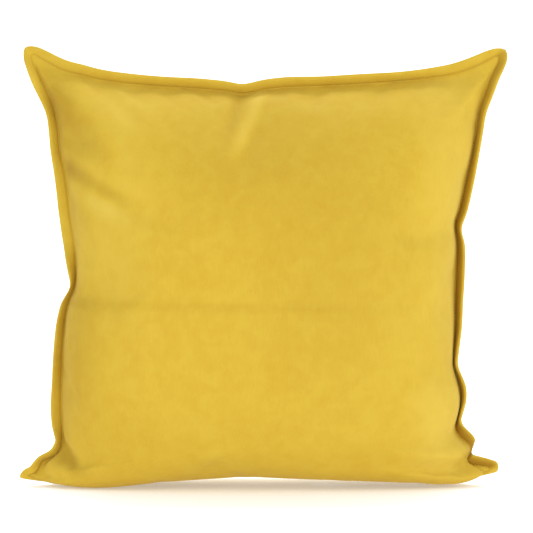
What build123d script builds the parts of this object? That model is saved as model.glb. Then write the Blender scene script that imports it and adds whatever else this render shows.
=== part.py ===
"""Square throw pillow: a velvet cover with a narrow flange and a zipped back, over a fibre-filled insert.

Units are millimetres. The pillow stands upright on its lower edge: +X is across the front, the front face
looks along -Y and +Z is up. The origin is on the floor, midway between the front and the back.
"""

import os
from math import cos, degrees, pi, sin, sqrt, tanh

from build123d import *

# ---------------------------------------------------------------- driving dimensions
# Filled shape of the cover, measured to the seam line where the front and back faces part
CORNER_WIDTH = 467.0  # between the two upper corners
CORNER_HEIGHT = 428.0  # upper corners above the floor
TOP_PULL_IN = 29.0  # how far the middle of the top edge is drawn down
SIDE_PULL_IN = 34.0  # how far the middle of each side is drawn in
CROWN = 92.0  # front or back surface to the seam plane, at the fullest height
BELLY = 0.34  # height of the fullest section, as a share of the side's height
BELLY_FLAT = 0.06  # share of the height over which the fullest section hardly changes
TOP_TAPER = 0.75  # how sharply the thickness closes towards the top edge
FLOOR_PRESS = 8.0  # how much of the round underside the floor presses flat

# Cover cloth
VELVET = 1.0
FLANGE = 12.0  # seam line to the flange's outer edge
FLANGE_CORNER_R = 5.0
FLANGE_FLOOR_GAP = 2.0  # lower flange's edge above the floor
FLANGE_SLOT_CLEARANCE = 2.0  # each side of the lower flange, between the two lobes it hangs in
TURN_GAP = 0.2  # between the flange's cloth and the edge turned in behind it
SEAM_RECESS = 0.2  # how much narrower each form is where its front and back meet

# Sewing threads
THREAD = 0.5
THREAD_PROUD = 0.15  # stitches above the velvet they are bedded in
TOPSTITCH_FROM_SEAM = 1.2
EDGE_SEAM_FROM_EDGE = 2.0

# Insert
INSERT_CLEARANCE = 0.9  # between the cover's inside and the insert
TICKING = 0.5  # insert's cloth
FILL_CLEARANCE = 0.4
INSERT_THREAD = 0.4
INSERT_OPENING = 150.0  # length of the hand-closed part of the insert's lower seam

# Zip, which follows the curve of the back
ZIP_RADIUS = 465.0  # of the back's curve at the zip, on the velvet's outer face
ZIP_LENGTH = 350.0  # opening, measured along the curve
ZIP_CHANNEL = 7.6  # between the two folded velvet edges
ZIP_TURN_IN = 8.0  # velvet turned under beside the channel
TAPE = 0.5
TAPE_HEIGHT = 12.0
TAPE_END = 8.0  # tape past each end of the opening
TAPE_CLEARANCE = 0.2
CHAIN_GAP = 1.1  # between the two rows, for the slider's post
COIL_WIDTH = 1.5
COIL_DEPTH = 1.3
STOP_LENGTH = 3.0
STITCH_FROM_FOLD = 3.0
BAR_TACK = 2.0  # width of the close stitching across each end of the opening

# Slider and its pull
SLIDER_LENGTH = 9.0
SLIDER_CLEARANCE = 0.35
SLIDER_CORNER_R = 1.6
PLATE = 0.8
RAIL = 0.8
POST_LENGTH = 2.4
POST_WIDTH = 0.4
BRIDGE_LENGTH = 6.4
BRIDGE_WIDTH = 1.2
BRIDGE_BAR = 0.8
PULL_LENGTH = 23.0
PULL_WIDTH = 5.4
PULL_THICKNESS = 1.0
PULL_EYE_WIDTH = 2.4
PULL_HOLE_R = 1.1
PULL_CORNER_R = 2.0

# Care label, laid flat inside against the seam allowance
LABEL_WIDTH = 30.0
LABEL_LENGTH = 18.0
LABEL_THICKNESS = 0.4
LABEL_X = 70.0

GRID = 30  # spans of each smooth face, each way

# ---------------------------------------------------------------- derived places
HALF_WIDTH = CORNER_WIDTH / 2
LOW_POINT = -FLOOR_PRESS
SIDE_HEIGHT = CORNER_HEIGHT - LOW_POINT
SEAM_Z = FLANGE_FLOOR_GAP + FLANGE
FLANGE_HALF = 2 * VELVET
SLOT_HALF = FLANGE_HALF + FLANGE_SLOT_CLEARANCE
OUTSIDE = 3 * HALF_WIDTH  # safely past every face

ZIP_Z = LOW_POINT + BELLY * SIDE_HEIGHT
ZIP_CENTRE_Y = CROWN - ZIP_RADIUS
ZIP_AXIS = Axis((0, ZIP_CENTRE_Y, 0), (0, 0, 1))
ZIP_HALF = ZIP_LENGTH / 2
TAPE_HALF = ZIP_HALF + TAPE_END
CHAIN_HALF = ZIP_HALF - STOP_LENGTH
STITCH_HEIGHT = ZIP_CHANNEL / 2 + STITCH_FROM_FOLD

# Depths below the velvet's outer face, along the zip
TAPE_OUTER = 2 * VELVET + TAPE_CLEARANCE
TAPE_INNER = TAPE_OUTER + TAPE
COIL_TOP = TAPE_OUTER - COIL_DEPTH
TOP_PLATE_UNDER = COIL_TOP - SLIDER_CLEARANCE
TOP_PLATE_OUTER = TOP_PLATE_UNDER - PLATE
LOW_PLATE_OUTER = TAPE_INNER + SLIDER_CLEARANCE
LOW_PLATE_INNER = LOW_PLATE_OUTER + PLATE
TAPE_REACH = CHAIN_GAP / 2 + TAPE_HEIGHT
COIL_REACH = CHAIN_GAP / 2 + COIL_WIDTH
SLIDER_WIDTH = 2 * (COIL_REACH + SLIDER_CLEARANCE + RAIL)
SLIDER_REST = (CHAIN_HALF - SLIDER_CLEARANCE - SLIDER_LENGTH / 2) / ZIP_RADIUS  # radians
PULL_PIVOT = SLIDER_CLEARANCE + PULL_THICKNESS / 2  # above the slider's top plate


# ---------------------------------------------------------------- shared shapes
def arc_drop(distance, half_chord, sagitta):
    """Rise of a shallow circular arc above its lowest middle point, at a distance along the chord."""
    radius = (half_chord**2 + sagitta**2) / (2 * sagitta)
    return radius - sqrt(radius**2 - distance**2)


def half_width_at(share):
    """Half width of the seam outline at a share of the side's height."""
    offset = (share - 0.5) * SIDE_HEIGHT
    return HALF_WIDTH - SIDE_PULL_IN + arc_drop(offset, SIDE_HEIGHT / 2, SIDE_PULL_IN)


def across(side, inset):
    """Height of a level section above its flat start: an arc concentric with the zip, then a round turn in."""
    reach = half_width_at(BELLY) - inset
    turn = min(ZIP_RADIUS * sin(TAPE_HALF / ZIP_RADIUS), 0.95 * reach)
    x = abs(side) * reach
    radius = ZIP_RADIUS - inset
    if x <= turn:
        return ZIP_CENTRE_Y + sqrt(radius**2 - x**2) - FLANGE_HALF
    height = ZIP_CENTRE_Y + sqrt(radius**2 - turn**2) - FLANGE_HALF
    slope = -turn / sqrt(radius**2 - turn**2)
    bend = 1 + 2 * slope * (reach - turn) / height
    way = (x - turn) / (reach - turn)
    return height * sqrt(max(0.0, (1 - way) * (1 + bend * way)))


def upright(share):
    """Depth of an upright section as a share of the crown: full near the belly, closing at the seams."""
    lift = share - BELLY
    room = 1 - BELLY if lift > 0 else BELLY
    near = lift - BELLY_FLAT * tanh(lift / BELLY_FLAT)
    level = BELLY + near * room / (room - BELLY_FLAT * tanh(room / BELLY_FLAT))
    fullness = TOP_TAPER * BELLY / (1 - BELLY)
    return (level / BELLY) ** fullness * ((1 - level) / (1 - BELLY)) ** TOP_TAPER


def face_points(inset):
    """Rows of points of the back face, closer together at the edges, which lie level with the flange's back."""
    rows = []
    for i in range(GRID + 1):
        share = (1 - cos(pi * i / GRID)) / 2
        row = []
        for j in range(GRID + 1):
            side = -cos(pi * j / GRID)
            top = CORNER_HEIGHT - TOP_PULL_IN + arc_drop(side * HALF_WIDTH, HALF_WIDTH, TOP_PULL_IN)
            x = side * (half_width_at(share) - inset)
            z = LOW_POINT + inset + share * (top - LOW_POINT - 2 * inset)
            edge = i in (0, GRID) or j in (0, GRID)
            depth = 0.0 if edge else across(side, inset) * upright(share)
            row.append(Vector(x, FLANGE_HALF + depth, z))
        rows.append(row)
    return rows


def zip_band(depths, heights, along, mode=Mode.ADD):
    """Strip bent along the zip: depths below the velvet's face, and heights from the zip's middle line."""
    start = along[1] / ZIP_RADIUS
    outward = Vector(sin(start), cos(start), 0)
    level = Plane((0, ZIP_CENTRE_Y, ZIP_Z), x_dir=outward, z_dir=outward.cross(Vector(0, 0, 1)))
    with BuildSketch(level) as profile:
        with Locations((ZIP_RADIUS - sum(depths) / 2, sum(heights) / 2)):
            Rectangle(depths[1] - depths[0], heights[1] - heights[0])
    sweep_angle = degrees((along[1] - along[0]) / ZIP_RADIUS)
    revolve(profile.sketch, axis=ZIP_AXIS, revolution_arc=sweep_angle, mode=mode)


def back_lobe(inset):
    """Solid from the flange's back to the pillow's back face, inset evenly from the cover's outside.

    It is flat where it stands, and cut back underneath to leave a slot for the lower flange.
    """
    face = Face.make_surface_from_array_of_points(face_points(inset))
    with BuildPart() as lobe:
        add(Solid(Shell([face, Face(face.outer_wire())])))
        split(bisect_by=Plane.XY.offset(inset), keep=Keep.TOP)
        with BuildSketch(Plane.YZ):
            with Locations((0, SEAM_Z / 2)):
                Rectangle(2 * (SLOT_HALF + inset), SEAM_Z + 2 * inset)
        extrude(amount=OUTSIDE, both=True, mode=Mode.SUBTRACT)
    return lobe.part


def insert_form(inset, zip_step):
    """Whole solid of the insert: both lobes, joined through a middle that is a little narrower.

    Two steps along the back make room for the tapes and for the slider, each larger by zip_step.
    """
    lobe = back_lobe(inset)
    with BuildPart() as form:
        add(lobe)
        add(lobe.mirror(Plane.XZ))
        seam_plate(-inset - SEAM_RECESS, (-FLANGE_HALF, FLANGE_HALF))
        reach = TAPE_REACH + zip_step
        end = TAPE_HALF + zip_step
        zip_band((-VELVET, TAPE_INNER + zip_step), (-reach, reach), (-end, end), Mode.SUBTRACT)
        reach = SLIDER_WIDTH / 2 + zip_step
        end = ZIP_HALF + zip_step
        zip_band((-VELVET, LOW_PLATE_INNER + zip_step), (-reach, reach), (-end, end), Mode.SUBTRACT)
    return form.part


def seam_outline(grow, corner_radius):
    """Flat outline of the whole pillow in the seam plane, grown outward from the seam line."""
    top = CORNER_HEIGHT + grow
    low = SEAM_Z - grow
    wide = HALF_WIDTH + grow
    low_wide = half_width_at((SEAM_Z - LOW_POINT) / SIDE_HEIGHT) + grow
    middle = LOW_POINT + SIDE_HEIGHT / 2
    waist = HALF_WIDTH - SIDE_PULL_IN + grow
    with BuildSketch(Plane.XZ) as outline:
        with BuildLine():
            Line((-low_wide, low), (low_wide, low))
            ThreePointArc((low_wide, low), (waist, middle), (wide, top))
            ThreePointArc((wide, top), (0, top - TOP_PULL_IN), (-wide, top))
            ThreePointArc((-wide, top), (-waist, middle), (-low_wide, low))
        make_face()
        if corner_radius > 0:
            fillet(outline.vertices(), corner_radius)
    return outline.sketch


def seam_plate(grow, depths, mode=Mode.ADD):
    """Flat plate of the seam outline between two distances from the seam plane, towards the front."""
    corner_radius = FLANGE_CORNER_R - FLANGE + grow
    plate = seam_outline(grow, corner_radius).moved(Location((0, -depths[0], 0)))
    extrude(plate, amount=depths[1] - depths[0], dir=(0, -1, 0), mode=mode)


def seam_ring(outer, inner, depths):
    """Narrow band that follows the seam line, between two outlines and two distances from its plane."""
    with BuildPart() as ring:
        seam_plate(outer, depths)
        seam_plate(inner, depths, Mode.SUBTRACT)
    return ring.part


# ---------------------------------------------------------------- sewing threads of the flange
topstitch_edges = (TOPSTITCH_FROM_SEAM + THREAD / 2, TOPSTITCH_FROM_SEAM - THREAD / 2)
topstitch_outside = FLANGE_HALF + THREAD_PROUD
edge_seam_grow = FLANGE - EDGE_SEAM_FROM_EDGE

with BuildPart() as flange_needle_thread:
    add(seam_ring(*topstitch_edges, (topstitch_outside - THREAD, topstitch_outside)))

with BuildPart() as flange_bobbin_thread:
    add(flange_needle_thread.part.mirror(Plane.XZ))

with BuildPart() as edge_seam_thread:
    add(seam_ring(edge_seam_grow + THREAD / 2, edge_seam_grow - THREAD / 2, (-THREAD / 2, THREAD / 2)))

# ---------------------------------------------------------------- sewing threads of the zip
stitch_depths = (-THREAD_PROUD, THREAD - THREAD_PROUD)
upper_stitch = (STITCH_HEIGHT - THREAD / 2, STITCH_HEIGHT + THREAD / 2)
lower_stitch = (-upper_stitch[1], -upper_stitch[0])
tack_heights = (-STITCH_HEIGHT - THREAD, STITCH_HEIGHT + THREAD)
tack_start = ZIP_HALF + THREAD / 2

with BuildPart() as zip_stitching_upper:
    zip_band(stitch_depths, upper_stitch, (-ZIP_HALF, ZIP_HALF))

with BuildPart() as zip_stitching_lower:
    zip_band(stitch_depths, lower_stitch, (-ZIP_HALF, ZIP_HALF))

with BuildPart() as zip_bar_tacks:
    zip_band(stitch_depths, tack_heights, (tack_start, tack_start + BAR_TACK))
    zip_band(stitch_depths, tack_heights, (-tack_start - BAR_TACK, -tack_start))

# ---------------------------------------------------------------- cover
turn_slot = (VELVET - TURN_GAP / 2, VELVET + TURN_GAP / 2)
channel_half = ZIP_CHANNEL / 2

with BuildPart() as back_shell:
    add(back_lobe(0.0))
    add(back_lobe(VELVET), mode=Mode.SUBTRACT)
    add(seam_ring(FLANGE, -VELVET - SEAM_RECESS, (-FLANGE_HALF, 0)))
    seam_plate(FLANGE - VELVET, (-turn_slot[1], -turn_slot[0]), Mode.SUBTRACT)
    add(flange_bobbin_thread.part, mode=Mode.SUBTRACT)
    add(edge_seam_thread.part, mode=Mode.SUBTRACT)

with BuildPart() as cover_front_panel:
    add(back_shell.part.mirror(Plane.XZ))

with BuildPart() as cover_back:
    add(back_shell.part)
    for side in (-1, 1):
        fold = sorted((side * (channel_half - TURN_GAP), side * (channel_half + ZIP_TURN_IN)))
        zip_band((VELVET / 2, 2 * VELVET), fold, (-ZIP_HALF - VELVET, ZIP_HALF + VELVET))
    channel_depths = (-VELVET, 3 * VELVET)
    zip_band(channel_depths, (-channel_half, channel_half), (-ZIP_HALF, ZIP_HALF), Mode.SUBTRACT)
    add(zip_stitching_upper.part, mode=Mode.SUBTRACT)
    add(zip_stitching_lower.part, mode=Mode.SUBTRACT)
    add(zip_bar_tacks.part, mode=Mode.SUBTRACT)

with BuildPart() as cover_back_upper_panel:
    add(cover_back.part)
    split(bisect_by=Plane.XY.offset(ZIP_Z), keep=Keep.TOP)

with BuildPart() as cover_back_lower_panel:
    add(cover_back.part)
    split(bisect_by=Plane.XY.offset(ZIP_Z), keep=Keep.BOTTOM)

with BuildPart() as care_label:
    label_y = SLOT_HALF + VELVET + LABEL_LENGTH / 2
    label_z = VELVET + INSERT_CLEARANCE / 2
    with Locations((LABEL_X, label_y, label_z)):
        Box(LABEL_WIDTH, LABEL_LENGTH, LABEL_THICKNESS)

# ---------------------------------------------------------------- zip
tape_depths = (TAPE_OUTER, TAPE_INNER)
coil_depths = (COIL_TOP, TAPE_OUTER)
upper_coil = (CHAIN_GAP / 2, COIL_REACH)
lower_coil = (-COIL_REACH, -CHAIN_GAP / 2)

with BuildPart() as zip_tape_upper:
    zip_band(tape_depths, (CHAIN_GAP / 2, TAPE_REACH), (-TAPE_HALF, TAPE_HALF))

with BuildPart() as zip_tape_lower:
    zip_band(tape_depths, (-TAPE_REACH, -CHAIN_GAP / 2), (-TAPE_HALF, TAPE_HALF))

with BuildPart() as zip_coil_upper:
    zip_band(coil_depths, upper_coil, (-CHAIN_HALF, CHAIN_HALF))

with BuildPart() as zip_coil_lower:
    zip_band(coil_depths, lower_coil, (-CHAIN_HALF, CHAIN_HALF))

with BuildPart() as zip_top_stops:
    zip_band(coil_depths, upper_coil, (CHAIN_HALF, ZIP_HALF))
    zip_band(coil_depths, lower_coil, (CHAIN_HALF, ZIP_HALF))

with BuildPart() as zip_bottom_stop:
    zip_band(coil_depths, (-COIL_REACH, COIL_REACH), (-ZIP_HALF, -CHAIN_HALF))

# ---------------------------------------------------------------- slider, built flat and then put in place
# Local frame: +X along the zip to its closed end, +Z out of the back, zero at the velvet's outer face
plate_middles = (-TOP_PLATE_OUTER - PLATE / 2, -LOW_PLATE_INNER + PLATE / 2)
pivot_z = -TOP_PLATE_OUTER + PULL_PIVOT
bridge_under = pivot_z + PULL_THICKNESS / 2 + SLIDER_CLEARANCE
bridge_top = bridge_under + BRIDGE_BAR
rail_low = -TAPE_OUTER + SLIDER_CLEARANCE

with BuildPart() as slider_flat:
    for middle in plate_middles:
        with BuildSketch(Plane.XY.offset(middle - PLATE / 2)):
            RectangleRounded(SLIDER_LENGTH, SLIDER_WIDTH, SLIDER_CORNER_R)
        extrude(amount=PLATE)
    for side in (-1, 1):
        rail_height = -TOP_PLATE_UNDER - rail_low
        with Locations((0, side * (SLIDER_WIDTH - RAIL) / 2, rail_low + rail_height / 2)):
            Box(SLIDER_LENGTH - 2 * SLIDER_CORNER_R, RAIL, rail_height)
    post_height = LOW_PLATE_OUTER - TOP_PLATE_UNDER
    with Locations(((SLIDER_LENGTH - POST_LENGTH) / 2 - RAIL, 0, -LOW_PLATE_OUTER + post_height / 2)):
        Box(POST_LENGTH, POST_WIDTH, post_height)
    with BuildSketch(Plane.XZ):
        with Locations((0, (bridge_top - TOP_PLATE_OUTER) / 2)):
            Rectangle(BRIDGE_LENGTH, bridge_top + TOP_PLATE_OUTER)
        with Locations((0, (bridge_under - TOP_PLATE_OUTER) / 2)):
            Rectangle(BRIDGE_LENGTH - 2 * BRIDGE_BAR, bridge_under + TOP_PLATE_OUTER, mode=Mode.SUBTRACT)
    extrude(amount=BRIDGE_WIDTH / 2, both=True)

bridge_corner = sqrt((BRIDGE_LENGTH / 2) ** 2 + (bridge_top - pivot_z) ** 2)
eye_start = PULL_THICKNESS / 2
eye_end = bridge_corner + SLIDER_CLEARANCE

with BuildPart() as pull_flat:
    pull_end = PULL_LENGTH - PULL_THICKNESS / 2
    with BuildSketch(Plane.XY.offset(pivot_z - PULL_THICKNESS / 2)):
        with Locations((pull_end / 2, 0)):
            Rectangle(pull_end, PULL_WIDTH)
        fillet(vertices().group_by(Axis.X)[-1], PULL_CORNER_R)
        with Locations(((eye_start + eye_end) / 2, 0)):
            Rectangle(eye_end - eye_start, PULL_EYE_WIDTH, mode=Mode.SUBTRACT)
        with Locations((pull_end - PULL_WIDTH / 2, 0)):
            Circle(PULL_HOLE_R, mode=Mode.SUBTRACT)
    extrude(amount=PULL_THICKNESS)
    with Locations((0, 0, pivot_z)):
        Cylinder(PULL_THICKNESS / 2, PULL_WIDTH, rotation=(90, 0, 0))

slider_outward = Vector(sin(SLIDER_REST), cos(SLIDER_REST), 0)
slider_along = Vector(cos(SLIDER_REST), -sin(SLIDER_REST), 0)
slider_origin = Vector(0, ZIP_CENTRE_Y, ZIP_Z) + slider_outward * ZIP_RADIUS
slider_place = Location(Plane(slider_origin, x_dir=slider_along, z_dir=slider_outward))

with BuildPart() as zip_slider_body:
    add(slider_flat.part.moved(slider_place))

with BuildPart() as zip_pull_tab:
    add(pull_flat.part.moved(slider_place))

# ---------------------------------------------------------------- insert
insert_outside = VELVET + INSERT_CLEARANCE
insert_inside = insert_outside + TICKING
insert_seam = -insert_inside - SEAM_RECESS
thread_half = INSERT_THREAD / 2

with BuildPart() as insert_shell:
    add(insert_form(insert_outside, INSERT_CLEARANCE))
    add(insert_form(insert_inside, INSERT_CLEARANCE + TICKING), mode=Mode.SUBTRACT)

with BuildPart() as insert_front_panel:
    add(insert_shell.part)
    split(bisect_by=Plane.XZ, keep=Keep.TOP)

with BuildPart() as insert_back_panel:
    add(insert_shell.part)
    split(bisect_by=Plane.XZ, keep=Keep.BOTTOM)

with BuildPart() as insert_seam_all:
    add(seam_ring(insert_seam, insert_seam - INSERT_THREAD, (-thread_half, thread_half)))

with BuildPart() as insert_closing_stitch:
    add(insert_seam_all.part)
    with Locations((0, 0, SEAM_Z - insert_seam)):
        Box(INSERT_OPENING, TICKING, 4 * INSERT_THREAD, mode=Mode.INTERSECT)

with BuildPart() as insert_seam_thread:
    add(insert_seam_all.part)
    with Locations((0, 0, SEAM_Z - insert_seam)):
        Box(INSERT_OPENING + THREAD, TICKING, 4 * INSERT_THREAD, mode=Mode.SUBTRACT)

with BuildPart() as insert_filling:
    add(insert_form(insert_inside + FILL_CLEARANCE, INSERT_CLEARANCE + TICKING + FILL_CLEARANCE))
    groove = (insert_seam + FILL_CLEARANCE, insert_seam - INSERT_THREAD - FILL_CLEARANCE)
    add(seam_ring(*groove, (-INSERT_THREAD, INSERT_THREAD)), mode=Mode.SUBTRACT)

# ---------------------------------------------------------------- files
os.makedirs("parts", exist_ok=True)

cover_front_panel.part.label = "cover_front_panel"
export_step(cover_front_panel.part, "parts/cover_front_panel.step")
cover_back_upper_panel.part.label = "cover_back_upper_panel"
export_step(cover_back_upper_panel.part, "parts/cover_back_upper_panel.step")
cover_back_lower_panel.part.label = "cover_back_lower_panel"
export_step(cover_back_lower_panel.part, "parts/cover_back_lower_panel.step")
flange_needle_thread.part.label = "flange_needle_thread"
export_step(flange_needle_thread.part, "parts/flange_needle_thread.step")
flange_bobbin_thread.part.label = "flange_bobbin_thread"
export_step(flange_bobbin_thread.part, "parts/flange_bobbin_thread.step")
edge_seam_thread.part.label = "edge_seam_thread"
export_step(edge_seam_thread.part, "parts/edge_seam_thread.step")
zip_tape_upper.part.label = "zip_tape_upper"
export_step(zip_tape_upper.part, "parts/zip_tape_upper.step")
zip_tape_lower.part.label = "zip_tape_lower"
export_step(zip_tape_lower.part, "parts/zip_tape_lower.step")
zip_coil_upper.part.label = "zip_coil_upper"
export_step(zip_coil_upper.part, "parts/zip_coil_upper.step")
zip_coil_lower.part.label = "zip_coil_lower"
export_step(zip_coil_lower.part, "parts/zip_coil_lower.step")
zip_top_stops.part.label = "zip_top_stops"
export_step(zip_top_stops.part, "parts/zip_top_stops.step")
zip_bottom_stop.part.label = "zip_bottom_stop"
export_step(zip_bottom_stop.part, "parts/zip_bottom_stop.step")
zip_stitching_upper.part.label = "zip_stitching_upper"
export_step(zip_stitching_upper.part, "parts/zip_stitching_upper.step")
zip_stitching_lower.part.label = "zip_stitching_lower"
export_step(zip_stitching_lower.part, "parts/zip_stitching_lower.step")
zip_bar_tacks.part.label = "zip_bar_tacks"
export_step(zip_bar_tacks.part, "parts/zip_bar_tacks.step")
zip_slider_body.part.label = "zip_slider_body"
export_step(zip_slider_body.part, "parts/zip_slider_body.step")
zip_pull_tab.part.label = "zip_pull_tab"
export_step(zip_pull_tab.part, "parts/zip_pull_tab.step")
care_label.part.label = "care_label"
export_step(care_label.part, "parts/care_label.step")
insert_front_panel.part.label = "insert_front_panel"
export_step(insert_front_panel.part, "parts/insert_front_panel.step")
insert_back_panel.part.label = "insert_back_panel"
export_step(insert_back_panel.part, "parts/insert_back_panel.step")
insert_seam_thread.part.label = "insert_seam_thread"
export_step(insert_seam_thread.part, "parts/insert_seam_thread.step")
insert_closing_stitch.part.label = "insert_closing_stitch"
export_step(insert_closing_stitch.part, "parts/insert_closing_stitch.step")
insert_filling.part.label = "insert_filling"
export_step(insert_filling.part, "parts/insert_filling.step")
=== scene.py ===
import math

import bmesh
import bpy
import numpy as np
from mathutils import Matrix, Vector


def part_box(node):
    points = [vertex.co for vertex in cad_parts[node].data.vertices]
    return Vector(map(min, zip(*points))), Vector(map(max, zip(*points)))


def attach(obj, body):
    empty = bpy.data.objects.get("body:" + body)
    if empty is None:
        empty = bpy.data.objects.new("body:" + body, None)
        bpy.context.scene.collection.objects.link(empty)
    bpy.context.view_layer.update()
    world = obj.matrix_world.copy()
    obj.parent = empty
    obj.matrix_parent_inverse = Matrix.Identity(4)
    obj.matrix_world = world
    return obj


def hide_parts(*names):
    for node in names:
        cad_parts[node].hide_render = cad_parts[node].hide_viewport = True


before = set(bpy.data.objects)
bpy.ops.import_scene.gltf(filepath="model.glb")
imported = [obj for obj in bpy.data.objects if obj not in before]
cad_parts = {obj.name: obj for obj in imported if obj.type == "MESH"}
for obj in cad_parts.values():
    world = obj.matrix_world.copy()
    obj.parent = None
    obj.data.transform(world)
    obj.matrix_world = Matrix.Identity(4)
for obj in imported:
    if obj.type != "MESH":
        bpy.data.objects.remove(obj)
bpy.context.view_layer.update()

MM = 0.001

# ---------------------------------------------------------------- sizes, in mm
FLANGE = 12.0
TOPSTITCH_FROM_SEAM = 1.4
TOPSTITCH_HEIGHT = 1.15
EDGE_SEAM_FROM_EDGE = 2.0
STITCH_PITCH = 3.2
STITCH = (2.6, 0.54, 0.6)  # along, facing, across

ZIP_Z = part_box("cover_back_lower_panel")[1].z / MM
ZIP_RADIUS = 465.0
ZIP_CENTRE_Y = 92.0 - ZIP_RADIUS
ZIP_HALF = 175.0
LIP_ROUND = 0.7
CHAIN_HALF = 172.0
CHANNEL_HALF = 3.8
TAPE_REACH = 12.9  # the height each side of the zip over which the back lies on its tapes
HOLD_ENDS = 181.0  # the back is held by the zip up to here, and is free past the fade
HOLD_FADE = 12.0
HOLD_FADE_ROWS = 4
ZIP_STITCH_HEIGHT = 6.8

COLUMNS = 96
ROWS_BELOW, ROWS_ABOVE = 34, 56
ZIP_HALF_ROWS = 3
ZIP_ROW = ROWS_BELOW + ZIP_HALF_ROWS
ROWS = ROWS_BELOW + 2 * ZIP_HALF_ROWS + ROWS_ABOVE
STANDING_ROWS = 17  # up to here the lower rows keep more or less of the shape they stand in
FLOOR_GAP = 0.4
LINE_STEPS = 60  # places along a fold or a stroke

# The seam that joins front and back, and the flange's outer edge beside it: x, z, outer x, outer z,
# and which way the flange leans where it stands out of the seam's plane: -1 is to the front
BOTTOM_EDGE = [
    (-233, 11, -243.5, 7.5, 1), (-225, 9.5, -226, 5.5, 1), (-214, 7.5, -215, 4, 1),
    (-198, 7.5, -198, 4, 1), (-160, 11, -160, 7, 1), (-110, 18, -110, 12, 1), (-50, 24, -50, 17, 1),
    (0, 25, 0, 18, 1), (60, 23, 60, 16, 1), (115, 20, 115, 13, 1), (155, 16, 155, 10, 1),
    (185, 12, 185, 8, 1), (206, 11.5, 206, 8, 1), (218, 13.5, 219, 10, 1),
    (228.5, 16.5, 238, 14, 1),
]
RIGHT_EDGE = [
    (228.5, 16.5, 238, 14, 1), (227, 18, 239, 21.5, -1), (222, 19, 232.5, 25.5, -1),
    (212, 20, 221.5, 29, -1), (203.5, 22.5, 212, 31.5, -1), (205.5, 29, 210.5, 33, 1),
    (208, 35, 211.5, 37, 1), (207, 40.5, 213.5, 42, 1), (201, 46, 214, 47.5, -1),
    (195.5, 50.5, 210, 53, -1), (193.5, 56.5, 203, 59, -1), (195.5, 64, 198, 65, -1),
    (198.5, 74, 199.5, 74, -1), (200, 86, 203, 86, -1), (199, 97, 203.3, 98, -1),
    (196, 109, 199.5, 109, -1), (193.5, 121, 194.2, 121, -1), (193.3, 135, 195.5, 135, -1),
    (194, 155, 198.5, 155, -1), (194, 185, 200.5, 185, -1), (194.5, 215, 202.5, 215, -1),
    (195.5, 245, 202, 243, -1), (193.5, 261, 199, 257, -1), (198, 278, 204.5, 272, -1),
    (204.5, 306, 211.5, 303, -1), (210, 328, 215.5, 326, -1), (214.5, 350, 219.5, 350, -1),
    (218.5, 376, 224, 374, -1), (224, 394, 231, 391, -1), (229.5, 409, 237, 407, -1),
    (234, 420, 243.5, 420, -1), (236.5, 426.5, 247, 430, -1), (236, 430, 246, 438, -1),
]
TOP_EDGE = [
    (-229, 432, -238, 440, -1), (-224.5, 429, -229.5, 440.5, -1), (-214, 422.5, -216, 436, -1),
    (-201.5, 416, -198, 427, -1), (-181, 410.5, -179, 421.5, -1), (-161.5, 406, -161, 416.5, -1),
    (-131.5, 402, -131.5, 412, -1), (-100, 399.5, -100, 409, -1), (-61.5, 397, -61, 407, -1),
    (-35, 394.5, -36, 404.5, -1), (-17, 392, -18, 401.5, -1), (0, 395.5, 0, 405.5, -1),
    (18.5, 398, 18.5, 408, -1), (60, 400, 60, 409, -1), (100, 402, 100, 411.5, -1),
    (138.5, 405, 138.5, 413.5, -1), (170, 408, 168, 417.5, -1), (198, 412.5, 194, 423.5, -1),
    (214, 418.5, 211, 429.5, -1), (226, 424.5, 226, 435.5, -1), (232.5, 428.5, 236.5, 438.5, -1),
    (236, 430, 246, 438, -1),
]
LEFT_EDGE = [
    (-233, 11, -243.5, 7.5, 1), (-228, 12, -240.5, 13.5, -1), (-223, 13.5, -236.5, 17.5, -1),
    (-221.5, 19, -231, 19.5, -1), (-220, 25.5, -225, 26.5, -1), (-213.5, 28, -219.5, 31.5, -1),
    (-206, 29.5, -211, 35.5, -1), (-201.5, 37, -206.5, 42, -1), (-200, 47, -204.5, 47, -1),
    (-199.5, 58, -208, 57, -1), (-200, 78, -210.5, 76, -1), (-200, 105, -208.8, 105, -1),
    (-199.5, 130, -207.5, 129, -1), (-198, 152, -205.5, 152, -1), (-196, 171, -203, 169, -1),
    (-191.5, 188, -198.5, 185, -1), (-187, 198, -193, 194, -1), (-185.8, 207, -190, 202, -1),
    (-185.8, 216, -192.5, 213, -1), (-186.5, 240, -197.5, 236, -1), (-191.5, 276, -203, 273, -1),
    (-194.5, 300, -205.5, 299, -1), (-198, 320, -208, 319, -1), (-201.8, 334, -210.2, 335, -1),
    (-203.5, 354, -211.8, 354, -1), (-207.5, 374, -214, 371, -1), (-213.5, 393, -222, 388, -1),
    (-220, 407, -229, 402, -1), (-226, 418, -234.5, 418, -1), (-229.5, 426.5, -238.5, 430, -1),
    (-229, 432, -238, 440, -1),
]
# Sections through the middle, from the lower seam to the upper one: depth from the seam's plane, z
FRONT_SECTION = [
    (0, 25), (14, 14), (30, 10.5), (50, 15.5), (68, 37), (83, 82), (91, 140), (90, 200), (82, 260),
    (67, 315), (46, 358), (23, 385), (0, 394),
]
BACK_SECTION = [
    (0, 25), (14, 14), (30, 8), (50, 9), (70, 30), (85, 78), (92, 140.24), (90, 200), (82, 260),
    (67, 315), (46, 358), (23, 385), (0, 394),
]


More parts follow.
